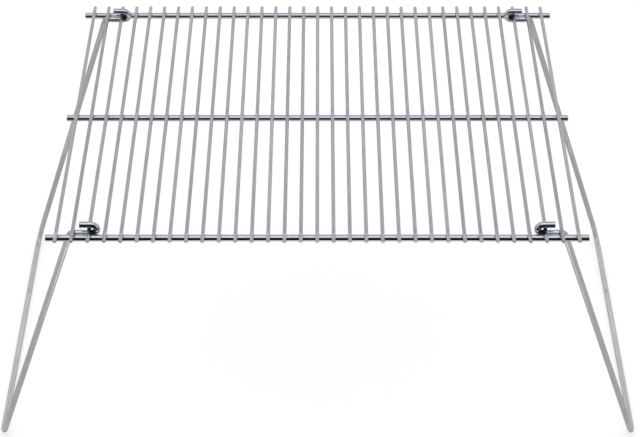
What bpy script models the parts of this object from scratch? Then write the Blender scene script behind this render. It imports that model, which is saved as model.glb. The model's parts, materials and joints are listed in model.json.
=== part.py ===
"""Folding campfire grill: a welded wire grid on two wire legs that fold flat under it.

Metres, +Z up, +X to the right, +Y to the rear. The origin is on the ground, under the middle of the grid.
The model stands with both legs splayed, as the grill is used over a fire.
"""

import math

import bmesh
import bpy
from mathutils import Vector

# Wire. Each size is the diameter of the round wire.
crossbar_wire = 0.00526
leg_wire = 0.00526
rod_wire = 0.00305
wire_sides = 12

# Grid. The rods lie side by side on three crossbars, and their ends run past the outer two.
crossbar_count = 3
crossbar_length = 0.432
crossbar_end_past_rod = 0.0088
crossbar_spacing = 0.144
crossbar_axis_height = 0.283
rod_count = 33
rod_front_overhang = 0.0091
rod_rear_overhang = 0.0071
rod_end_rounding = 0.0005
rounding_steps = 3

# Legs. Each leg hangs on the third rod from its side of the grid, and its knee is just past the second,
# which stops it. The foot stands out from the knee and carries the ground bar.
hinge_rod_from_side = 3
knee_past_stop_rod = 0.00295
foot_past_knee = 0.0973
ground_bar_length = 0.264
foot_bend_radius = 0.020
knee_bend_radius = 0.005
bend_step = math.radians(15)

# Hooks. The wire turns under the hinge rod, up on its inner side, and back over it.
hook_arm_rise = 0.0098
hook_end_past_hinge = 0.0073
hook_turn_past_hinge = 0.00615

# Running clearance between pieces that touch or turn on each other.
clearance = 0.0003

# Colours of the plated steel, as red, green, blue.
bright_plating = (0.66, 0.67, 0.68)
satin_plating = (0.46, 0.47, 0.47)
leg_plating = (0.50, 0.51, 0.52)


# Sizes that follow from the ones above.

crossbar_radius = crossbar_wire / 2
leg_radius = leg_wire / 2
rod_radius = rod_wire / 2

# A wire has flat facets that touch the true round, so its corners lie a little outside it.
corner_share = 1 / math.cos(math.pi / wire_sides)
half_facet = math.pi / wire_sides

rod_pitch = (crossbar_length - 2 * crossbar_end_past_rod) / (rod_count - 1)
rod_length = (crossbar_count - 1) * crossbar_spacing + rod_front_overhang + rod_rear_overhang
front_crossbar_y = -rod_length / 2 + rod_front_overhang
rear_crossbar_y = rod_length / 2 - rod_rear_overhang
grid_middle_y = (front_crossbar_y + rear_crossbar_y) / 2

# The rods sit on top of the crossbars, and the hooks' lower arms run just under the rods.
rod_axis_height = crossbar_axis_height + crossbar_radius + clearance + rod_radius
lower_arm_height = rod_axis_height - rod_radius - clearance - leg_radius
upper_arm_height = lower_arm_height + hook_arm_rise
ground_bar_height = leg_radius

# The hooks lie just inside the front and the rear crossbar.
hook_inset = crossbar_radius + clearance + leg_radius


def rod_x(number):
    """Across the grid, the axis of a rod counted from the left, starting at 1."""
    return (number - (rod_count + 1) / 2) * rod_pitch


# How far the hinge rods lie from the middle, and how far the knees lie from them.
hinge_x = -rod_x(hinge_rod_from_side)
knee_past_hinge = rod_pitch + knee_past_stop_rod


def make_material(name, colour, roughness):
    """Plated steel of one colour and finish."""
    material = bpy.data.materials.new(name)
    material.use_nodes = True
    shader = material.node_tree.nodes["Principled BSDF"]
    shader.inputs["Base Color"].default_value = (*colour, 1.0)
    shader.inputs["Metallic"].default_value = 1.0
    shader.inputs["Roughness"].default_value = roughness
    return material


def bend_corner(before, corner, after, radius):
    """Points along the arc of the given radius that rounds one corner of a wire's path."""
    back = (before - corner).normalized()
    ahead = (after - corner).normalized()
    half_opening = back.angle(ahead) / 2
    turn = math.pi - 2 * half_opening
    centre = corner + (back + ahead).normalized() * radius / math.sin(half_opening)
    start = corner + back * radius / math.tan(half_opening)
    across = (start - centre).normalized()
    steps = max(2, math.ceil(turn / bend_step))
    arc = []
    for step in range(steps + 1):
        angle = turn * step / steps
        arc.append(centre + (across * math.cos(angle) - back * math.sin(angle)) * radius)
    return arc


def bent_path(corners):
    """A wire's path through (corner, bend radius) pairs, with a radius of None at its two ends."""
    path = [corners[0][0]]
    for index in range(1, len(corners) - 1):
        corner, radius = corners[index]
        path += bend_corner(corners[index - 1][0], corner, corners[index + 1][0], radius)
    path.append(corners[-1][0])
    smooth = [path[0]]
    for point in path[1:]:
        if (point - smooth[-1]).length > rod_radius / 10:
            smooth.append(point)
    return smooth


def add_wire(name, path, diameter, facet_turn, location, material):
    """A round wire with flat cut ends along a path, which is given from its object's origin."""
    curve = bpy.data.curves.new(name, "CURVE")
    curve.dimensions = "3D"
    curve.twist_mode = "MINIMUM"
    curve.bevel_depth = diameter / 2 * corner_share
    curve.bevel_resolution = (wire_sides - 4) // 2
    curve.use_fill_caps = True
    spline = curve.splines.new("POLY")
    spline.points.add(len(path) - 1)
    for point, place in zip(spline.points, path):
        point.co = (*place, 1.0)
        point.tilt = facet_turn
    curve.materials.append(material)
    wire = bpy.data.objects.new(name, curve)
    wire.location = location
    grill.objects.link(wire)
    return wire


def rod_profile():
    """Half the outline of a rod along Y, whose cut ends have rounded edges, to be turned about Y."""
    rear_end = [(0, rod_length / 2)]
    for step in range(rounding_steps + 1):
        angle = math.pi / 2 * step / rounding_steps
        radius = rod_radius - rod_end_rounding * (1 - math.sin(angle))
        along = rod_length / 2 - rod_end_rounding * (1 - math.cos(angle))
        rear_end.append((radius * corner_share, along))
    front_end = [(radius, -along) for radius, along in reversed(rear_end)]
    outline = rear_end + front_end
    mesh = bpy.data.meshes.new("grill_rod")
    shape = bmesh.new()
    corners = []
    for radius, along in outline:
        corners.append(shape.verts.new((radius * math.cos(half_facet), along, radius * math.sin(half_facet))))
    for corner, next_corner in zip(corners, corners[1:]):
        shape.edges.new((corner, next_corner))
    shape.to_mesh(mesh)
    shape.free()
    return mesh


def add_rod(name, profile, x):
    """A straight rod, lying front to back on the crossbars."""
    rod = bpy.data.objects.new(name, profile)
    rod.location = (x, 0, rod_axis_height)
    grill.objects.link(rod)
    turning = rod.modifiers.new("turned", "SCREW")
    turning.axis = "Y"
    turning.angle = math.tau
    turning.steps = wire_sides
    turning.render_steps = wire_sides
    turning.use_merge_vertices = True
    turning.merge_threshold = 0.00001
    turning.use_smooth_shade = True
    return rod


def leg_corners(side):
    """The corners of one leg from its hinge point, each with its bend radius, from hook to hook."""
    upper = upper_arm_height - rod_axis_height
    lower = lower_arm_height - rod_axis_height
    ground = ground_bar_height - rod_axis_height
    hook_y = (rear_crossbar_y - front_crossbar_y) / 2 - hook_inset
    foot_x = knee_past_hinge + foot_past_knee
    foot_y = ground_bar_length / 2
    turn_radius = hook_arm_rise / 2
    half = [
        ((hook_end_past_hinge, hook_y, upper), None),
        ((-hook_turn_past_hinge, hook_y, upper), turn_radius),
        ((-hook_turn_past_hinge, hook_y, lower), turn_radius),
        ((knee_past_hinge, hook_y, lower), knee_bend_radius),
        ((foot_x, foot_y, ground), foot_bend_radius),
    ]
    corners = [(Vector((side * x, -y, z)), radius) for (x, y, z), radius in half]
    corners += [(Vector((side * x, y, z)), radius) for (x, y, z), radius in reversed(half)]
    return corners


def ground_facet_turn(corners, side):
    """How far a leg's facets turn about its wire, so that one lies flat under the ground bar.

    A facet edge that faces along the hinge at the hook is carried round the knee and the foot bend.
    """
    places = [corner for corner, radius in corners[2:6]]
    runs = [after - before for before, after in zip(places, places[1:])]
    edge = Vector((0, 1, 0))
    for run, next_run in zip(runs, runs[1:]):
        edge.rotate(run.rotation_difference(next_run))
    lean = math.atan2(side * edge.x, edge.z)
    return side * ((half_facet - lean) % (2 * half_facet))


for leftover in list(bpy.data.objects):
    bpy.data.objects.remove(leftover, do_unlink=True)

grill = bpy.data.collections.new("folding_campfire_grill")
bpy.context.scene.collection.children.link(grill)

bright = make_material("bright_plated_steel", bright_plating, 0.12)
satin = make_material("satin_plated_steel", satin_plating, 0.34)
leg_finish = make_material("leg_plated_steel", leg_plating, 0.26)

# The crossbars run from side to side, evenly spaced from front to rear.
crossbar_names = ["front_crossbar", "middle_crossbar", "rear_crossbar"]
half_crossbar = crossbar_length / 2
crossbar_path = [Vector((-half_crossbar, 0, 0)), Vector((half_crossbar, 0, 0))]
for index, name in enumerate(crossbar_names):
    place = (0, front_crossbar_y + index * crossbar_spacing, crossbar_axis_height)
    add_wire(name, crossbar_path, crossbar_wire, half_facet, place, bright)

# The rods all share one turned profile.
profile = rod_profile()
profile.materials.append(satin)
for number in range(1, rod_count + 1):
    add_rod(f"grill_rod_{number:02d}", profile, rod_x(number))

# Each leg's origin is on the rod that it turns about. Its facets are turned to rest flat on the ground.
for name, side in (("left_leg", -1), ("right_leg", 1)):
    corners = leg_corners(side)
    place = (side * hinge_x, grid_middle_y, rod_axis_height)
    add_wire(name, bent_path(corners), leg_wire, ground_facet_turn(corners, side), place, leg_finish)
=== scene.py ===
import json
import math

import bmesh
import bpy
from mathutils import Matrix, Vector


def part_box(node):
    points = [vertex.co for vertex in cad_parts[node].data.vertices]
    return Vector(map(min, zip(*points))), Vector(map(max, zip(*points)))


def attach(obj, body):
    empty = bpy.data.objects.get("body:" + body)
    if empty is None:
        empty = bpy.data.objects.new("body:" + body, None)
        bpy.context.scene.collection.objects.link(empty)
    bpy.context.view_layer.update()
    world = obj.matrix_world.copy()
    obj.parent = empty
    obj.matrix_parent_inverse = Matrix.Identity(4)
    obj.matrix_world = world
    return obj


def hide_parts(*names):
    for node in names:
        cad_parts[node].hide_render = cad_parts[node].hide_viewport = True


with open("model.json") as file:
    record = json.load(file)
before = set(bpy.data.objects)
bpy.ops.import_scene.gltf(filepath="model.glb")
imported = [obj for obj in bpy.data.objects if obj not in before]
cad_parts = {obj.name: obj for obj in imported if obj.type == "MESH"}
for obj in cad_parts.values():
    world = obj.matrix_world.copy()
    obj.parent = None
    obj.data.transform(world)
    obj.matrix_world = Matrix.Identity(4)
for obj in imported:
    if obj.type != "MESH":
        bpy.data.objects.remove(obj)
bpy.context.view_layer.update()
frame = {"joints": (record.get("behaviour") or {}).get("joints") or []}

# Folding campfire grill: round plated wires, welded where they cross, on two bent wire legs.
# Metres, +Z up, +X to the right, +Y to the rear. The ground is at height 0.

# Places of the wires, as the frame has them.
first_rod_low, first_rod_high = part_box("grill_rod_01")
last_rod_low, last_rod_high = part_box("grill_rod_33")
front_bar_low, front_bar_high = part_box("front_crossbar")
rear_bar_low, rear_bar_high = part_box("rear_crossbar")
hinge_places = {joint["child"]: Vector(joint["pos_m"]) for joint in frame["joints"]}

rod_count = 33
rod_wire = first_rod_high.x - first_rod_low.x
rod_height = (first_rod_low.z + first_rod_high.z) / 2
rod_front, rod_rear = first_rod_low.y, first_rod_high.y
first_rod_x = (first_rod_low.x + first_rod_high.x) / 2
rod_pitch = ((last_rod_low.x + last_rod_high.x) / 2 - first_rod_x) / (rod_count - 1)

bar_count = 3
bar_wire = front_bar_high.z - front_bar_low.z
bar_height = (front_bar_low.z + front_bar_high.z) / 2
bar_reach = front_bar_high.x
front_bar_y = (front_bar_low.y + front_bar_high.y) / 2
bar_spacing = ((rear_bar_low.y + rear_bar_high.y) / 2 - front_bar_y) / (bar_count - 1)
middle_bar_y = front_bar_y + bar_spacing

# The round crossbars are a little wider than the flat sides of their solids, and inside their corners.
round_bar_wire = bar_wire * 1.03

# Gap between pieces that turn on each other.
clearance = 0.0003

# Bends of a leg: how far each lies past the hinge rod, across from the middle bar, and up from the ground.
leg_wire = 0.00526
leg_radius = leg_wire / 2
hook_arm_rise = 0.0093
knee_past_stop_rod = 0.00295
foot_past_knee = 0.0973
hook_across = bar_spacing - bar_wire / 2 - clearance - leg_radius
lower_arm_up = bar_height
upper_arm_up = lower_arm_up + hook_arm_rise
hook_end_past = 0.0073
hook_turn_past = 0.00615
hook_bend = 0.0046
knee_past = rod_pitch + knee_past_stop_rod
knee_bend = 0.005
foot_past = knee_past + foot_past_knee
foot_across = 0.132
foot_bend = 0.020

# The front and the rear hooks of both legs mirror this one, at the rear on the right.
hinge_reach = abs(hinge_places["left_leg"].x)
hinge_corner = (hinge_reach, hook_across, rod_height)
hook_bend_centre = (hinge_reach - (hook_turn_past - hook_bend), hook_across, (lower_arm_up + upper_arm_up) / 2)

# Rounding of the cut ends, and the press marks that the welding leaves on top of the rods.
end_rounding = 0.0004
rounding_rings = 4
press_mark_depth = 0.00016
press_mark_reach = 0.0036
press_mark_shape = [(-1.0, 0.0), (-0.75, 0.35), (-0.5, 0.85), (-0.2, 1.0),
                    (0.2, 1.0), (0.5, 0.85), (0.75, 0.35), (1.0, 0.0)]

# Each wire of a row takes its finish from its own stretch, this far along one long wire.
stretch_between_wires = 0.731

# How far a weld bead is turned either way, in radians.
bead_turn = 0.3

# Painted shade inside the hooks: its dark colour, how far it reaches from the middle of a hook's bend, and how
# much it roughens the plating.
inner_shade_colour = (0.10, 0.10, 0.103, 1)
inner_shade_reach = 0.0037
inner_shade_roughness = 0.2

# Sockets that have no name of their own: of a whole-number comparison, and of a colour mix.
compared, compared_with = 2, 3
mix_share, mix_first, mix_second, mix_result = 0, 6, 7, 2


# Node helpers.

def new_tree(name, kind, sockets_in, sockets_out):
    """An empty node group with named inputs, each with its value, and named outputs."""
    tree = bpy.data.node_groups.new(name, kind)
    for label, socket_kind, value in sockets_in:
        socket = tree.interface.new_socket(label, in_out="INPUT", socket_type=socket_kind)
        if value is not None:
            socket.default_value = value
    for label, socket_kind in sockets_out:
        tree.interface.new_socket(label, in_out="OUTPUT", socket_type=socket_kind)
    return tree, tree.nodes.new("NodeGroupInput").outputs, tree.nodes.new("NodeGroupOutput").inputs


def add_node(tree, kind, inputs=None, **settings):
    """A node with its settings. A socket among its inputs is linked, and any other value is set."""
    node = tree.nodes.new(kind)
    for setting, value in settings.items():
        setattr(node, setting, value)
    for socket, value in (inputs or {}).items():
        if isinstance(value, bpy.types.NodeSocket):
            tree.links.new(value, node.inputs[socket])
        else:
            node.inputs[socket].default_value = value
    return node


def maths(tree, operation, *values):
    """The result of one sum on numbers."""
    return add_node(tree, "ShaderNodeMath", dict(enumerate(values)), operation=operation).outputs[0]


def vector_maths(tree, operation, *values):
    """The result of one sum on vectors."""
    node = add_node(tree, "ShaderNodeVectorMath", dict(enumerate(values)), operation=operation)
    return node.outputs["Value" if operation in ("LENGTH", "DISTANCE") else "Vector"]


def ramp(tree, value, low, high, low_result=0.0, high_result=1.0, smooth=False):
    """A number carried from one range to another and kept inside it."""
    kind = "SMOOTHSTEP" if smooth else "LINEAR"
    inputs = {"Value": value, "From Min": low, "From Max": high, "To Min": low_result, "To Max": high_result}
    return add_node(tree, "ShaderNodeMapRange", inputs, interpolation_type=kind).outputs["Result"]


def parts_of(tree, vector):
    """The X, Y and Z of a vector."""
    return add_node(tree, "ShaderNodeSeparateXYZ", {"Vector": vector}).outputs


def vector_of(tree, **parts):
    """A vector with the given X, Y and Z, and 0 for the rest."""
    return add_node(tree, "ShaderNodeCombineXYZ", parts).outputs["Vector"]


def noise(tree, place, scale, detail, roughness=0.5, distortion=0.0):
    """Soft noise at a place, scaled along each axis."""
    inputs = {"Vector": vector_maths(tree, "MULTIPLY", place, scale), "Scale": 1.0,
              "Detail": detail, "Roughness": roughness, "Distortion": distortion}
    return add_node(tree, "ShaderNodeTexNoise", inputs, noise_dimensions="3D").outputs["Fac"]


def mixed(tree, share, first, second):
    """One colour carried towards another by a share."""
    inputs = {mix_share: share, mix_first: first, mix_second: second}
    return add_node(tree, "ShaderNodeMix", inputs, data_type="RGBA").outputs[mix_result]


def named(tree, name, kind="FLOAT"):
    """A value that the mesh carries, inside a geometry tree."""
    node = add_node(tree, "GeometryNodeInputNamedAttribute", {"Name": name}, data_type=kind)
    return node.outputs["Attribute"]


def stored(tree, geometry, name, kind, value, domain="POINT"):
    """The geometry with a value kept on it under a name."""
    inputs = {"Geometry": geometry, "Name": name, "Value": value}
    node = add_node(tree, "GeometryNodeStoreNamedAttribute", inputs, data_type=kind, domain=domain)
    return node.outputs["Geometry"]


def captured(tree, geometry, label, kind, value):
    """The geometry, and a value held from here on."""
    node = add_node(tree, "GeometryNodeCaptureAttribute", {"Geometry": geometry}, domain="POINT")
    node.capture_items.new(kind, label)
    tree.links.new(value, node.inputs[label])
    return node.outputs["Geometry"], node.outputs[label]


def random_between(tree, kind, low, high, seed):
    """A random value for each copy."""
    inputs = {"Min": low, "Max": high, "Seed": seed}
    return add_node(tree, "FunctionNodeRandomValue", inputs, data_type=kind).outputs["Value"]


def realized(tree, geometry):
    """The copies of a geometry as one mesh."""
    return add_node(tree, "GeometryNodeRealizeInstances", {"Geometry": geometry}).outputs["Geometry"]


def finished(tree, geometry, finish):
    """The geometry with its material."""
    inputs = {"Geometry": geometry, "Material": finish}
    return add_node(tree, "GeometryNodeSetMaterial", inputs).outputs["Geometry"]


# Trees that make the wires.

def swept_wire_tree():
    """A round wire along a path of corners, with bends and closed ends. It keeps its place along and across."""
    tree, given, result = new_tree("swept_wire", "GeometryNodeTree", [
        ("Path", "NodeSocketGeometry", None),
        ("Wire diameter", "NodeSocketFloat", leg_wire),
        ("Sides", "NodeSocketInt", 24),
        ("Steps in a bend", "NodeSocketInt", 18),
    ], [("Wire", "NodeSocketGeometry")])
    path = add_node(tree, "GeometryNodeMeshToCurve", {"Mesh": given["Path"]}).outputs["Curve"]
    bends = {"Curve": path, "Count": given["Steps in a bend"], "Radius": named(tree, "bend_radius")}
    path = add_node(tree, "GeometryNodeFilletCurve", bends, mode="POLY").outputs["Curve"]
    along = tree.nodes.new("GeometryNodeSplineParameter").outputs["Length"]
    path, along = captured(tree, path, "Along", "FLOAT", along)
    outline = {"Resolution": given["Sides"], "Radius": 1.0}
    outline = add_node(tree, "GeometryNodeCurvePrimitiveCircle", outline, mode="RADIUS").outputs["Curve"]
    position = tree.nodes.new("GeometryNodeInputPosition").outputs["Position"]
    outline, across = captured(tree, outline, "Across", "VECTOR", position)
    radius = maths(tree, "MULTIPLY", given["Wire diameter"], 0.5)
    thickness = maths(tree, "MULTIPLY", radius, named(tree, "wire_share"))
    sweep = {"Curve": path, "Profile Curve": outline, "Scale": thickness, "Fill Caps": True}
    wire = add_node(tree, "GeometryNodeCurveToMesh", sweep).outputs["Mesh"]
    across = vector_maths(tree, "MULTIPLY", across, vector_of(tree, X=radius, Y=radius, Z=radius))
    place = vector_maths(tree, "ADD", across, vector_of(tree, Z=along))
    wire = stored(tree, wire, "wire_place", "FLOAT_VECTOR", place)
    # The sides have 4 corners each and are smooth. The cut ends have more and stay flat.
    corners = tree.nodes.new("GeometryNodeInputMeshFaceNeighbors").outputs["Vertex Count"]
    inputs = {compared: corners, compared_with: 5}
    side = add_node(tree, "FunctionNodeCompare", inputs, data_type="INT", operation="LESS_THAN")
    inputs = {"Geometry": wire, "Shade Smooth": side.outputs["Result"]}
    wire = add_node(tree, "GeometryNodeSetShadeSmooth", inputs, domain="FACE").outputs["Geometry"]
    tree.links.new(wire, result["Wire"])
    return tree


def swept_wire_in(tree, swept_wire, given):
    """The swept wire of a tree that has the same inputs."""
    inputs = {label: given[label] for label in ("Path", "Wire diameter", "Sides", "Steps in a bend")}
    return add_node(tree, "GeometryNodeGroup", inputs, node_tree=swept_wire).outputs["Wire"]


def wire_row_tree(swept_wire):
    """A row of equal wires side by side, each cut a little differently."""
    tree, given, result = new_tree("row_of_wires", "GeometryNodeTree", [
        ("Path", "NodeSocketGeometry", None),
        ("Wire diameter", "NodeSocketFloat", rod_wire),
        ("Sides", "NodeSocketInt", 24),
        ("Steps in a bend", "NodeSocketInt", 4),
        ("Count", "NodeSocketInt", 1),
        ("First place", "NodeSocketVector", (0, 0, 0)),
        ("Step", "NodeSocketVector", (0, 0, 0)),
        ("Shortest share", "NodeSocketVector", (1, 1, 1)),
        ("Press mark depth", "NodeSocketFloat", 0.0),
        ("Seed", "NodeSocketInt", 4),
        ("Finish", "NodeSocketMaterial", None),
    ], [("Wires", "NodeSocketGeometry")])
    wire = swept_wire_in(tree, swept_wire, given)
    line = {"Count": given["Count"], "Start Location": given["First place"], "Offset": given["Step"]}
    places = add_node(tree, "GeometryNodeMeshLine", line, mode="OFFSET").outputs["Mesh"]
    number = tree.nodes.new("GeometryNodeInputIndex").outputs["Index"]
    places, number = captured(tree, places, "Number", "FLOAT", number)
    lengths = random_between(tree, "FLOAT_VECTOR", given["Shortest share"], (1, 1, 1), given["Seed"])
    copies = {"Points": places, "Instance": wire, "Scale": lengths}
    row = add_node(tree, "GeometryNodeInstanceOnPoints", copies).outputs["Instances"]
    row = stored(tree, row, "wire_number", "FLOAT", number, "INSTANCE")
    shades = random_between(tree, "FLOAT", 0.0, 1.0, given["Seed"])
    row = stored(tree, row, "wire_shade", "FLOAT", shades, "INSTANCE")
    row = realized(tree, row)
    stretch = maths(tree, "MULTIPLY", named(tree, "wire_number"), stretch_between_wires)
    stretch = vector_of(tree, Z=stretch)
    place = vector_maths(tree, "ADD", named(tree, "wire_place", "FLOAT_VECTOR"), stretch)
    row = stored(tree, row, "wire_place", "FLOAT_VECTOR", place)
    # The electrodes flatten the top of a wire a little where it is welded.
    upward = parts_of(tree, tree.nodes.new("GeometryNodeInputNormal").outputs["Normal"])["Z"]
    pressed = maths(tree, "MULTIPLY", ramp(tree, upward, 0.35, 1.0, smooth=True), named(tree, "pressed"))
    sunk = maths(tree, "MULTIPLY", pressed, maths(tree, "MULTIPLY", given["Press mark depth"], -1.0))
    inputs = {"Geometry": row, "Offset": vector_of(tree, Z=sunk)}
    row = add_node(tree, "GeometryNodeSetPosition", inputs).outputs["Geometry"]
    tree.links.new(finished(tree, row, given["Finish"]), result["Wires"])
    return tree


def bent_wire_tree(swept_wire):
    """One bent wire with its finish."""
    tree, given, result = new_tree("bent_wire", "GeometryNodeTree", [
        ("Path", "NodeSocketGeometry", None),
        ("Wire diameter", "NodeSocketFloat", leg_wire),
        ("Sides", "NodeSocketInt", 24),
        ("Steps in a bend", "NodeSocketInt", 18),
        ("Finish", "NodeSocketMaterial", None),
    ], [("Wire", "NodeSocketGeometry")])
    whole = realized(tree, swept_wire_in(tree, swept_wire, given))
    tree.links.new(finished(tree, whole, given["Finish"]), result["Wire"])
    return tree


def weld_tree():
    """A small weld bead under each crossing of a grid of wires, no two quite alike."""
    tree, given, result = new_tree("crossing_welds", "GeometryNodeTree", [
        ("Across count", "NodeSocketInt", rod_count),
        ("Deep count", "NodeSocketInt", bar_count),
        ("Across pitch", "NodeSocketFloat", rod_pitch),
        ("Deep pitch", "NodeSocketFloat", bar_spacing),
        ("Middle", "NodeSocketVector", (0, 0, 0)),
        ("Smallest bead", "NodeSocketVector", (0.0018, 0.0017, 0.0008)),
        ("Largest bead", "NodeSocketVector", (0.0022, 0.0021, 0.0010)),
        ("Seed", "NodeSocketInt", 11),
        ("Finish", "NodeSocketMaterial", None),
    ], [("Welds", "NodeSocketGeometry")])
    spans = []
    for count, pitch in (("Across count", "Across pitch"), ("Deep count", "Deep pitch")):
        spans.append(maths(tree, "MULTIPLY", maths(tree, "SUBTRACT", given[count], 1.0), given[pitch]))
    grid = {"Size X": spans[0], "Size Y": spans[1],
            "Vertices X": given["Across count"], "Vertices Y": given["Deep count"]}
    grid = add_node(tree, "GeometryNodeMeshGrid", grid).outputs["Mesh"]
    grid = add_node(tree, "GeometryNodeTransform", {"Geometry": grid, "Translation": given["Middle"]})
    bead = {"Segments": 12, "Rings": 6, "Radius": 1.0}
    bead = add_node(tree, "GeometryNodeMeshUVSphere", bead).outputs["Mesh"]
    bead = add_node(tree, "GeometryNodeSetShadeSmooth", {"Geometry": bead, "Shade Smooth": True}).outputs[0]
    sizes = random_between(tree, "FLOAT_VECTOR", given["Smallest bead"], given["Largest bead"], given["Seed"])
    turns = random_between(tree, "FLOAT_VECTOR", (0, 0, -bead_turn), (0, 0, bead_turn), given["Seed"])
    turns = add_node(tree, "FunctionNodeEulerToRotation", {"Euler": turns}).outputs["Rotation"]
    copies = {"Points": grid.outputs["Geometry"], "Instance": bead, "Rotation": turns, "Scale": sizes}
    welds = add_node(tree, "GeometryNodeInstanceOnPoints", copies).outputs["Instances"]
    tree.links.new(finished(tree, realized(tree, welds), given["Finish"]), result["Welds"])
    return tree


# Paths, and the solids that the trees make of them.

def placed(name, data):
    """A new object at the origin, in the scene."""
    thing = bpy.data.objects.new(name, data)
    bpy.context.scene.collection.objects.link(thing)
    return thing


def rounded_end(point, inward, radius):
    """Points of a path, from a cut end inwards, with the share of the wire's radius at each."""
    places = []
    for ring in range(rounding_rings + 1):
        angle = math.pi / 2 * ring / rounding_rings
        share = (radius - end_rounding * (1 - math.sin(angle))) / radius
        places.append((point + inward * end_rounding * (1 - math.cos(angle)), share))
    return places


def wire_path(name, corners, diameter, marks=()):
    """A path mesh through (corner, bend radius) pairs, with rounded cut ends and any press marks along it."""
    radius = diameter / 2
    points = [Vector(corner) for corner, bend in corners]
    bends = [bend for corner, bend in corners]
    first = rounded_end(points[0], (points[1] - points[0]).normalized(), radius)
    last = rounded_end(points[-1], (points[-2] - points[-1]).normalized(), radius)
    rows = [(place, share, 0.0, 0.0) for place, share in first]
    rows += [(place, 1.0, bend, 0.0) for place, bend in zip(points[1:-1], bends[1:-1])]
    rows += [(place, 1.0, 0.0, pressed) for place, pressed in marks]
    rows += [(place, share, 0.0, 0.0) for place, share in reversed(last)]
    mesh = bpy.data.meshes.new(name)
    mesh.from_pydata([row[0] for row in rows], [(i, i + 1) for i in range(len(rows) - 1)], [])
    for label, column in (("wire_share", 1), ("bend_radius", 2), ("pressed", 3)):
        mesh.attributes.new(label, "FLOAT", "POINT").data.foreach_set("value", [row[column] for row in rows])
    return placed(name, mesh)


def press_marks(places):
    """Points along a rod where the electrodes pressed it, with how far each is pressed."""
    marks = []
    for y in places:
        for share, pressed in press_mark_shape:
            marks.append((Vector((0, y + share * press_mark_reach, 0)), pressed))
    return marks


def made_solid(name, start, tree, values):
    """The plain mesh that a tree makes of a starting object, as a new object at the origin."""
    modifier = start.modifiers.new("making", "NODES")
    modifier.node_group = tree
    sockets = {item.name: item.identifier for item in tree.interface.items_tree if item.in_out == "INPUT"}
    for label, value in values.items():
        modifier[sockets[label]] = value
    bpy.context.view_layer.update()
    made = start.evaluated_get(bpy.context.evaluated_depsgraph_get())
    mesh = bpy.data.meshes.new_from_object(made)
    mesh.name = name
    piece = placed(name, mesh)
    bpy.data.objects.remove(start, do_unlink=True)
    return piece


# Finishes.

def plating_tree():
    """Bright plating over drawn wire: fine draw lines, soft clouds, and a few specks."""
    tree, given, result = new_tree("drawn_wire_plating", "ShaderNodeTree", [
        ("Place", "NodeSocketVector", (0, 0, 0)),
        ("Bright colour", "NodeSocketColor", (0.74, 0.75, 0.76, 1)),
        ("Dull colour", "NodeSocketColor", (0.6, 0.61, 0.62, 1)),
        ("Smooth", "NodeSocketFloat", 0.1),
        ("Worn", "NodeSocketFloat", 0.25),
        ("Lines", "NodeSocketFloat", 0.3),
        ("Clouds", "NodeSocketFloat", 0.5),
        ("Marks and painted light", "NodeSocketFloat", 0.0),
    ], [("Colour", "NodeSocketColor"), ("Roughness", "NodeSocketFloat"), ("Height", "NodeSocketFloat")])
    line_scale, cloud_scale, speck_scale = (1900.0, 1900.0, 26.0), (240.0, 240.0, 75.0), (620.0, 620.0, 420.0)
    line_height, cloud_height, speck_depth = 0.35, 0.5, 0.3
    speck_dullness = 0.25
    lines = ramp(tree, noise(tree, given["Place"], line_scale, 3.0, 0.6), 0.34, 0.66)
    clouds = ramp(tree, noise(tree, given["Place"], cloud_scale, 4.0, 0.55, 0.4), 0.38, 0.68, smooth=True)
    specks = vector_maths(tree, "MULTIPLY", given["Place"], speck_scale)
    specks = add_node(tree, "ShaderNodeTexVoronoi", {"Vector": specks, "Scale": 1.0}, feature="F1")
    specks = ramp(tree, specks.outputs["Distance"], 0.05, 0.16, 1.0, 0.0)
    dull = maths(tree, "MULTIPLY", lines, given["Lines"])
    dull = maths(tree, "ADD", dull, maths(tree, "MULTIPLY", clouds, given["Clouds"]))
    dull = maths(tree, "ADD", dull, maths(tree, "MULTIPLY", specks, speck_dullness))
    # What is added here is partly wear and weld marks, and partly painted highlight and painted shade.
    dull = maths(tree, "ADD", dull, given["Marks and painted light"])
    dull = add_node(tree, "ShaderNodeClamp", {"Value": dull}).outputs["Result"]
    tree.links.new(mixed(tree, dull, given["Bright colour"], given["Dull colour"]), result["Colour"])
    spread = maths(tree, "SUBTRACT", given["Worn"], given["Smooth"])
    roughness = maths(tree, "ADD", given["Smooth"], maths(tree, "MULTIPLY", dull, spread))
    tree.links.new(roughness, result["Roughness"])
    height = maths(tree, "MULTIPLY", lines, line_height)
    height = maths(tree, "ADD", height, maths(tree, "MULTIPLY", clouds, cloud_height))
    height = maths(tree, "SUBTRACT", height, maths(tree, "MULTIPLY", specks, speck_depth))
    tree.links.new(height, result["Height"])
    return tree


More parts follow.
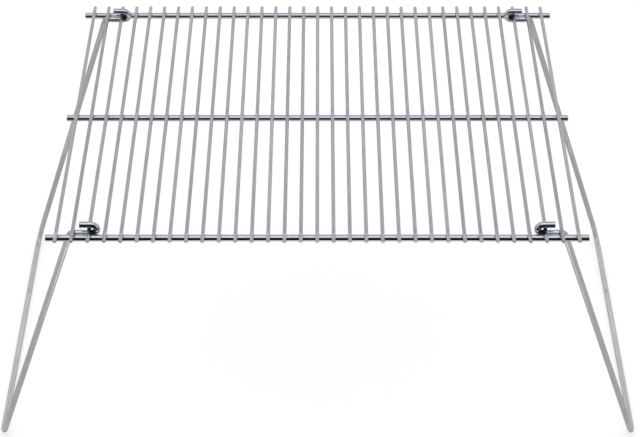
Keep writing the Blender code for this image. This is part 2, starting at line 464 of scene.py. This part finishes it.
def crossing_tree():
    """Blotches by each of a row of even crossings: dull weld marks above 0, and painted highlight below 0."""
    tree, given, result = new_tree("near_a_crossing", "ShaderNodeTree", [
        ("Along", "NodeSocketFloat", 0.0),
        ("First", "NodeSocketFloat", 0.0),
        ("Spacing", "NodeSocketFloat", 1.0),
        ("Reach", "NodeSocketFloat", 0.01),
        ("Place", "NodeSocketVector", (0, 0, 0)),
    ], [("Blotches", "NodeSocketFloat")])
    edge_scale, blotch_scale = (500.0,) * 3, (520.0,) * 3
    brightest, dullest = -0.8, 1.1
    ragged = ramp(tree, noise(tree, given["Place"], edge_scale, 2.0), 0.3, 0.7, 0.55, 1.25)
    from_first = maths(tree, "SUBTRACT", given["Along"], given["First"])
    off = maths(tree, "PINGPONG", from_first, maths(tree, "MULTIPLY", given["Spacing"], 0.5))
    near = maths(tree, "DIVIDE", off, maths(tree, "MULTIPLY", given["Reach"], ragged))
    near = ramp(tree, near, 0.35, 1.0, 1.0, 0.0, smooth=True)
    blotches = ramp(tree, noise(tree, given["Place"], blotch_scale, 2.0), 0.40, 0.60, brightest, dullest)
    tree.links.new(maths(tree, "MULTIPLY", near, blotches), result["Blotches"])
    return tree


def folded_to_one_corner(tree, place):
    """A place on the grill, with the four corners of the grill mirrored onto the one at the rear right."""
    parts = parts_of(tree, place)
    depth = maths(tree, "ABSOLUTE", maths(tree, "SUBTRACT", parts["Y"], middle_bar_y))
    return vector_of(tree, X=maths(tree, "ABSOLUTE", parts["X"]), Y=depth, Z=parts["Z"])


def rub_tree():
    """Where the hooks turn on the hinge rods, the plating is rubbed."""
    tree, given, result = new_tree("rubbed_by_the_hinge", "ShaderNodeTree", [
        ("Place", "NodeSocketVector", (0, 0, 0)),
        ("Hinge", "NodeSocketVector", (0, 0, 0)),
        ("Reach", "NodeSocketFloat", 0.008),
    ], [("Rubbed", "NodeSocketFloat")])
    patch_scale = (900.0,) * 3
    away = vector_maths(tree, "DISTANCE", folded_to_one_corner(tree, given["Place"]), given["Hinge"])
    near = ramp(tree, maths(tree, "DIVIDE", away, given["Reach"]), 0.35, 1.0, 1.0, 0.0, smooth=True)
    patchy = ramp(tree, noise(tree, given["Place"], patch_scale, 3.0), 0.4, 0.62)
    tree.links.new(maths(tree, "MULTIPLY", near, patchy), result["Rubbed"])
    return tree


def inner_shade_tree():
    """Painted shade that darkens the inside of the hooks, round the hinge rods."""
    tree, given, result = new_tree("inner_shade_in_the_hooks", "ShaderNodeTree", [
        ("Place", "NodeSocketVector", (0, 0, 0)),
        ("Bend centre", "NodeSocketVector", (0, 0, 0)),
        ("Reach", "NodeSocketFloat", inner_shade_reach),
    ], [("Inner shade", "NodeSocketFloat")])
    edge_scale = (900.0,) * 3
    round_hook, along_hook = (1.0, 0.0, 1.0), (0.0, 1.0, 0.0)
    away = vector_maths(tree, "SUBTRACT", folded_to_one_corner(tree, given["Place"]), given["Bend centre"])
    ragged = ramp(tree, noise(tree, given["Place"], edge_scale, 2.0), 0.3, 0.7, 0.85, 1.15)
    reach = maths(tree, "MULTIPLY", given["Reach"], ragged)
    shares = []
    for direction, full, none in ((round_hook, 0.85, 1.15), (along_hook, 0.75, 1.05)):
        off = vector_maths(tree, "LENGTH", vector_maths(tree, "MULTIPLY", away, direction))
        shares.append(ramp(tree, maths(tree, "DIVIDE", off, reach), full, none, 1.0, 0.0, smooth=True))
    tree.links.new(maths(tree, "MULTIPLY", *shares), result["Inner shade"])
    return tree


def new_material(name, values):
    """A material, and its tree and shader, with what is the same all over set on the shader."""
    material = bpy.data.materials.new(name)
    material.use_nodes = True
    tree = material.node_tree
    shader = tree.nodes["Principled BSDF"]
    for label, value in values.items():
        shader.inputs[label].default_value = value
    return material, tree, shader


def mesh_value(tree, name):
    """What the mesh carries under a name, inside a material."""
    return add_node(tree, "ShaderNodeAttribute", attribute_name=name, attribute_type="GEOMETRY").outputs


def object_place(tree):
    """A point's place on the whole grill, or on the set."""
    return tree.nodes.new("ShaderNodeTexCoord").outputs["Object"]


def finish_wire(tree, shader, values, relief_depth, inner_shade=None):
    """Puts the plating into a finish, with any painted shade over it, and its height as a fine relief."""
    coat = add_node(tree, "ShaderNodeGroup", values, node_tree=plating).outputs
    colour, roughness = coat["Colour"], coat["Roughness"]
    if inner_shade is not None:
        colour = mixed(tree, inner_shade, colour, inner_shade_colour)
        roughness = maths(tree, "ADD", roughness, maths(tree, "MULTIPLY", inner_shade, inner_shade_roughness))
    tree.links.new(colour, shader.inputs["Base Color"])
    tree.links.new(roughness, shader.inputs["Roughness"])
    relief = {"Height": coat["Height"], "Strength": 1.0, "Distance": relief_depth}
    relief = add_node(tree, "ShaderNodeBump", relief)
    tree.links.new(relief.outputs["Normal"], shader.inputs["Normal"])


def crossing_marks_and_highlights(tree, place, along, first, spacing, reach, share):
    """The weld marks near each crossing, with painted highlight where they are bright."""
    inputs = {"Along": along, "First": first, "Spacing": spacing, "Reach": reach, "Place": place}
    near = add_node(tree, "ShaderNodeGroup", inputs, node_tree=crossing)
    return maths(tree, "MULTIPLY", near.outputs["Blotches"], share)


def hinge_rubs(tree, place, reach, share):
    """The rubbed places of the hinges."""
    inputs = {"Place": place, "Hinge": hinge_corner, "Reach": reach}
    rubs = add_node(tree, "ShaderNodeGroup", inputs, node_tree=rubbing)
    return maths(tree, "MULTIPLY", rubs.outputs["Rubbed"], share)


def hook_inner_shade(tree, place):
    """The painted shade inside the hooks."""
    inputs = {"Place": place, "Bend centre": hook_bend_centre, "Reach": inner_shade_reach}
    return add_node(tree, "ShaderNodeGroup", inputs, node_tree=inner_shade_in_hooks).outputs["Inner shade"]


plating = plating_tree()
crossing = crossing_tree()
rubbing = rub_tree()
inner_shade_in_hooks = inner_shade_tree()
wire_relief, leg_relief, weld_relief = 0.000012, 0.000016, 0.00004

bar_finish, tree, shader = new_material("bright_plated_bar", {"Metallic": 1.0})
own, whole = mesh_value(tree, "wire_place")["Vector"], object_place(tree)
across = parts_of(tree, whole)["X"]
# Beside each rod the bar gets weld marks, painted shade in the notch, and painted highlight.
marks = crossing_marks_and_highlights(tree, whole, across, first_rod_x, rod_pitch, reach=0.0032, share=0.55)
finish_wire(tree, shader, {
    "Place": own, "Bright colour": (0.70, 0.71, 0.737, 1), "Dull colour": (0.54, 0.545, 0.562, 1),
    "Smooth": 0.05, "Worn": 0.20, "Lines": 0.18, "Clouds": 0.20, "Marks and painted light": marks}, wire_relief)

rod_finish, tree, shader = new_material("bright_plated_rod", {"Metallic": 1.0})
own, whole = mesh_value(tree, "wire_place")["Vector"], object_place(tree)
depth = parts_of(tree, whole)["Y"]
# Near each bar the rod gets weld marks and painted highlight.
marks = crossing_marks_and_highlights(tree, whole, depth, front_bar_y, bar_spacing, reach=0.0085, share=0.9)
marks = maths(tree, "ADD", marks, hinge_rubs(tree, whole, reach=0.0075, share=0.5))
# Some rods are duller all over than others.
marks = maths(tree, "ADD", marks, maths(tree, "MULTIPLY", mesh_value(tree, "wire_shade")["Fac"], 0.5))
# The cut ends are painted brighter: a painted highlight.
bright_end_from, bright_end_to, end_highlight = rod_rear - 0.011, rod_rear - 0.003, -0.6
ends = ramp(tree, maths(tree, "ABSOLUTE", depth), bright_end_from, bright_end_to, 0.0, end_highlight)
marks = maths(tree, "ADD", marks, ends)
# Where the rods pass through the hooks, they are painted dark: painted shade.
finish_wire(tree, shader, {
    "Place": own, "Bright colour": (0.752, 0.75, 0.768, 1), "Dull colour": (0.56, 0.56, 0.572, 1),
    "Smooth": 0.13, "Worn": 0.30, "Lines": 0.30, "Clouds": 0.30, "Marks and painted light": marks},
    wire_relief, hook_inner_shade(tree, whole))

leg_finish, tree, shader = new_material("bright_plated_leg", {"Metallic": 1.0})
own, whole = mesh_value(tree, "wire_place")["Vector"], object_place(tree)
height = parts_of(tree, whole)["Z"]
# The long sides of the legs are painted duller than the hooks and the ground bars: painted shade on what they
# mirror.
above_ground_bar, below_hooks = ramp(tree, height, 0.010, 0.045), ramp(tree, height, 0.255, 0.275, 1.0, 0.0)
side_painted_shade = 0.36
sides = maths(tree, "MULTIPLY", maths(tree, "MULTIPLY", above_ground_bar, below_hooks), side_painted_shade)
marks = maths(tree, "ADD", hinge_rubs(tree, whole, reach=0.0105, share=0.6), sides)
# The hooks are painted as dark as the crossbars, which dims their mirrored highlight, and the wire below them
# brighter: one plating painted in two tones by height.
side_colour, hook_colour = (0.86, 0.863, 0.90, 1), (0.72, 0.73, 0.755, 1)
bright = mixed(tree, ramp(tree, height, 0.266, 0.276), side_colour, hook_colour)
# Inside the hooks, the legs are painted dark: painted shade.
finish_wire(tree, shader, {
    "Place": own, "Bright colour": bright, "Dull colour": (0.585, 0.588, 0.613, 1),
    "Smooth": 0.07, "Worn": 0.24, "Lines": 0.28, "Clouds": 0.24, "Marks and painted light": marks},
    leg_relief, hook_inner_shade(tree, whole))

weld_finish, tree, shader = new_material("plated_weld", {"Metallic": 1.0})
finish_wire(tree, shader, {
    "Place": object_place(tree), "Bright colour": (0.70, 0.70, 0.71, 1), "Dull colour": (0.46, 0.455, 0.45, 1),
    "Smooth": 0.18, "Worn": 0.42, "Lines": 0.3, "Clouds": 0.7, "Marks and painted light": 0.15}, weld_relief)


# The grill's pieces.

swept_wire = swept_wire_tree()
row_of_wires = wire_row_tree(swept_wire)
bent_wire = bent_wire_tree(swept_wire)

bar_ends = [((-bar_reach, 0, 0), None), ((bar_reach, 0, 0), None)]
bar_path = wire_path("bar_path", bar_ends, round_bar_wire)
crossbars = made_solid("plated_crossbars", bar_path, row_of_wires, {
    "Wire diameter": round_bar_wire, "Sides": 32, "Steps in a bend": 1, "Count": bar_count,
    "First place": (0.0, front_bar_y, bar_height), "Step": (0.0, bar_spacing, 0.0),
    "Shortest share": (1.0, 1.0, 1.0), "Press mark depth": 0.0, "Seed": 2, "Finish": bar_finish})
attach(crossbars, "grid")
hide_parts("front_crossbar", "middle_crossbar", "rear_crossbar")

rod_ends = [((0, rod_front, 0), None), ((0, rod_rear, 0), None)]
bar_places = [front_bar_y + number * bar_spacing for number in range(bar_count)]
rod_path = wire_path("rod_path", rod_ends, rod_wire, press_marks(bar_places))
rods = made_solid("plated_rods", rod_path, row_of_wires, {
    "Wire diameter": rod_wire, "Sides": 24, "Steps in a bend": 1, "Count": rod_count,
    "First place": (first_rod_x, 0.0, rod_height), "Step": (rod_pitch, 0.0, 0.0),
    "Shortest share": (1.0, 0.9975, 1.0), "Press mark depth": press_mark_depth, "Seed": 5,
    "Finish": rod_finish})
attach(rods, "grid")
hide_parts(*[f"grill_rod_{number:02d}" for number in range(1, rod_count + 1)])

welds = made_solid("crossing_welds", placed("weld_start", bpy.data.meshes.new("weld_start")), weld_tree(), {
    "Across count": rod_count, "Deep count": bar_count, "Across pitch": rod_pitch, "Deep pitch": bar_spacing,
    "Middle": (0.0, middle_bar_y, bar_height + bar_wire / 2),
    "Smallest bead": (0.0017, 0.0016, 0.0008), "Largest bead": (0.0021, 0.0020, 0.0010),
    "Seed": 11, "Finish": weld_finish})
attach(welds, "grid")


def leg_corners(hinge, side):
    """The corners of one leg with their bend radii, from its front hook to its rear hook."""
    half = [
        (-hook_end_past, hook_across, upper_arm_up, 0.0),
        (hook_turn_past, hook_across, upper_arm_up, hook_bend),
        (hook_turn_past, hook_across, lower_arm_up, hook_bend),
        (-knee_past, hook_across, lower_arm_up, knee_bend),
        (-foot_past, foot_across, leg_radius, foot_bend),
    ]
    corners = [((hinge.x - side * x, middle_bar_y - y, z), bend) for x, y, z, bend in half]
    corners += [((hinge.x - side * x, middle_bar_y + y, z), bend) for x, y, z, bend in reversed(half)]
    return corners


for leg, side in (("left_leg", -1), ("right_leg", 1)):
    path = wire_path(leg + "_path", leg_corners(hinge_places[leg], side), leg_wire)
    piece = made_solid(leg + "_wire", path, bent_wire, {
        "Wire diameter": leg_wire, "Sides": 28, "Steps in a bend": 20, "Finish": leg_finish})
    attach(piece, leg)
    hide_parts(leg)


# Floor, cards and light.

# The floor's own white, and the glow that it adds for the camera and for the metal.
floor_reach = 9.0
floor_white = 0.53
seen_white = 0.54
metal_sees = 0.02
far_floor_from, far_floor_to, far_floor_lift = 1.2, 4.0, 0.12


def sheet_of(name, rows, material):
    """A smooth sheet through rows of points."""
    mesh = bpy.data.meshes.new(name)
    shape = bmesh.new()
    corners = [[shape.verts.new(point) for point in row] for row in rows]
    for row, next_row in zip(corners, corners[1:]):
        for left, right, next_left, next_right in zip(row, row[1:], next_row, next_row[1:]):
            face = shape.faces.new((left, right, next_right, next_left))
            face.smooth = True
    shape.to_mesh(mesh)
    shape.free()
    mesh.materials.append(material)
    sheet = placed(name, mesh)
    return sheet


def seen_by_camera_and_metal(tree, for_camera, for_metal):
    """A strength that only the camera's rays and mirrored or passed rays meet."""
    rays = tree.nodes.new("ShaderNodeLightPath").outputs
    mirrored = maths(tree, "MAXIMUM", rays["Is Glossy Ray"], rays["Is Transmission Ray"])
    return maths(tree, "MAXIMUM", maths(tree, "MULTIPLY", rays["Is Camera Ray"], for_camera),
                 maths(tree, "MULTIPLY", mirrored, for_metal))


floor_finish, tree, shader = new_material("pale_floor", {
    "Base Color": (floor_white, floor_white, floor_white, 1), "Roughness": 0.9,
    "Specular IOR Level": 0.0, "Emission Color": (1, 1, 1, 1)})
# The far floor gets less light, and is lifted to the same white.
from_middle = vector_maths(tree, "LENGTH", object_place(tree))
seen = ramp(tree, from_middle, far_floor_from, far_floor_to, seen_white, seen_white + far_floor_lift)
tree.links.new(seen_by_camera_and_metal(tree, seen, metal_sees), shader.inputs["Emission Strength"])
sheet_of("floor", [[(x, y, 0) for y in (-floor_reach, floor_reach)] for x in (-floor_reach, floor_reach)],
         floor_finish)


def card_finish(name, colour, strength=1.0):
    """The plain glow of a card, as the metal mirrors it."""
    material, tree, shader = new_material(name, {
        "Base Color": (0, 0, 0, 1), "Specular IOR Level": 0.0,
        "Emission Color": (*colour, 1), "Emission Strength": strength})
    material.cycles.emission_sampling = "NONE"
    return material


def shaded_card(name, axis, reach, steps, spread=0.0):
    """The glow of a card that changes along one axis, over a reach that grows with the height by the spread.

    Each step is (share of the reach, colour).
    """
    material = card_finish(name, (1, 1, 1))
    tree = material.node_tree
    parts = parts_of(tree, object_place(tree))
    wide = maths(tree, "ADD", maths(tree, "MULTIPLY", parts["Z"], spread), reach)
    share = maths(tree, "DIVIDE", maths(tree, "ABSOLUTE", parts[axis]), wide)
    bands = add_node(tree, "ShaderNodeValToRGB", {"Fac": share})
    for number, (place, colour) in enumerate(steps):
        band = bands.color_ramp.elements[number] if number < 2 else bands.color_ramp.elements.new(place)
        band.position, band.color = place, (*colour, 1)
    tree.links.new(bands.outputs["Color"], tree.nodes["Principled BSDF"].inputs["Emission Color"])
    return material


def mirrored_card(name, rows, material):
    """A card that stands round the set and shows only in the metal."""
    card = sheet_of(name, rows, material)
    card.visible_camera = False
    card.visible_diffuse = False
    card.visible_shadow = False


def ring_rows(rings, turn_from, turn_to, steps):
    """Rows of points of a curved card, through (reach, height) rings. Turns go from the rear to the right."""
    rows = []
    for reach, height in rings:
        turns = [math.radians(turn_from + (turn_to - turn_from) * step / steps) for step in range(steps + 1)]
        rows.append([(reach * math.sin(turn), reach * math.cos(turn), height) for turn in turns])
    return rows


def flat_rows(left, right, front, rear, height):
    """Rows of points of a level card."""
    return [[(left, front, height), (right, front, height)], [(left, rear, height), (right, rear, height)]]


# A grey tent over the whole set, lighter near the floor. Its steps are (degrees up from the floor, colour).
tent_reach = 4.0
tent_rings = [(tent_reach * math.cos(math.radians(rise)), tent_reach * math.sin(math.radians(rise)))
              for rise in range(0, 90, 8)] + [(0.01, tent_reach)]
tent_steps = [(0, (0.66, 0.66, 0.67)), (35, (0.64, 0.64, 0.65)), (48, (0.60, 0.60, 0.62)),
              (53, (0.46, 0.47, 0.50)), (60, (0.34, 0.36, 0.40)), (90, (0.34, 0.36, 0.40))]
tent_steps = [(math.sin(math.radians(rise)), colour) for rise, colour in tent_steps]
mirrored_card("grey_tent", ring_rows(tent_rings, 0, 360, 48),
              shaded_card("grey_tent", "Z", tent_reach, tent_steps))

# The dark front gives the crossbars their black band, and a grey strip in it keeps the rods from going black.
front_turns = (108, 252, 36)
front_rings = [(1.75, 0.0), (1.75, 3.1)]
strip_rings = [(1.74, 1.28), (1.74, 1.68)]
dark_reach, dark_spread, card_height = 1.05, 0.12, 0.002
dark_steps = [(0.80, (0.004, 0.004, 0.004)), (1.0, (0.45, 0.45, 0.46))]
mirrored_card("dark_front_card", ring_rows(front_rings, *front_turns),
              shaded_card("dark_front", "X", dark_reach, dark_steps, dark_spread))
mirrored_card("grey_strip_card", ring_rows(strip_rings, *front_turns),
              card_finish("grey_strip", (0.22, 0.22, 0.225)))
mirrored_card("dark_floor_card", flat_rows(-1.6, 1.6, -1.8, -0.46, card_height),
              shaded_card("dark_floor", "X", dark_reach, dark_steps))
mirrored_card("bright_floor_card", flat_rows(-0.20, 0.20, -0.46, -0.20, card_height),
              card_finish("bright_card", (0.98, 1.0, 1.02), 0.90))
mirrored_card("soft_box_card", flat_rows(-0.8, 0.8, -0.98, 0.28, 1.7),
              card_finish("soft_box", (0.83, 0.91, 1.04), 1.32))

# Small cards by the rear foot bends of each leg, and a roof that keeps the soft box out of them.
leg_card_span = (0.25, 0.325)
leg_card_low, leg_card_high = 0.012, 0.115
for side in (-1, 1):
    for y, tone in ((0.055, 0.66), (0.060, 0.45)):
        rows = [[(side * x, y, z) for x in leg_card_span] for z in (leg_card_low, leg_card_high)]
        mirrored_card("leg_fill_card", rows, card_finish("leg_fill", (tone, tone, tone)))
    rows = [[(side * x, y, leg_card_high) for x in leg_card_span] for y in (0.060, 0.128)]
    mirrored_card("leg_roof_card", rows, card_finish("leg_roof", (0.60, 0.60, 0.61)))

lamp = bpy.data.lights.new("overhead_light", "AREA")
lamp.shape = "SQUARE"
lamp.size = 3.5
lamp.energy = 27.0
overhead = placed("overhead_light", lamp)
overhead.location = (0, 0, 2.6)
overhead.visible_glossy = False

ambient = 0.70
world = bpy.data.worlds.new("pale_studio")
bpy.context.scene.world = world
world.use_nodes = True
tree = world.node_tree
background = tree.nodes["Background"]
background.inputs["Color"].default_value = (1, 1, 1, 1)
extra = seen_by_camera_and_metal(tree, 1.0 - ambient, 1.0 - ambient)
tree.links.new(maths(tree, "ADD", extra, ambient), background.inputs["Strength"])

camera_down = math.radians(45.16)
camera_data = bpy.data.cameras.new("camera")
camera_data.lens = 83.6
camera_data.sensor_width = 36.0
camera_data.clip_start = 0.05
camera_data.clip_end = 50.0
camera = placed("camera", camera_data)
camera.location = (0.0022, -0.9645, 1.1310)
camera.rotation_euler = (math.radians(90) - camera_down, 0, 0)
bpy.context.scene.camera = camera
bpy.context.scene.view_settings.view_transform = "Standard"
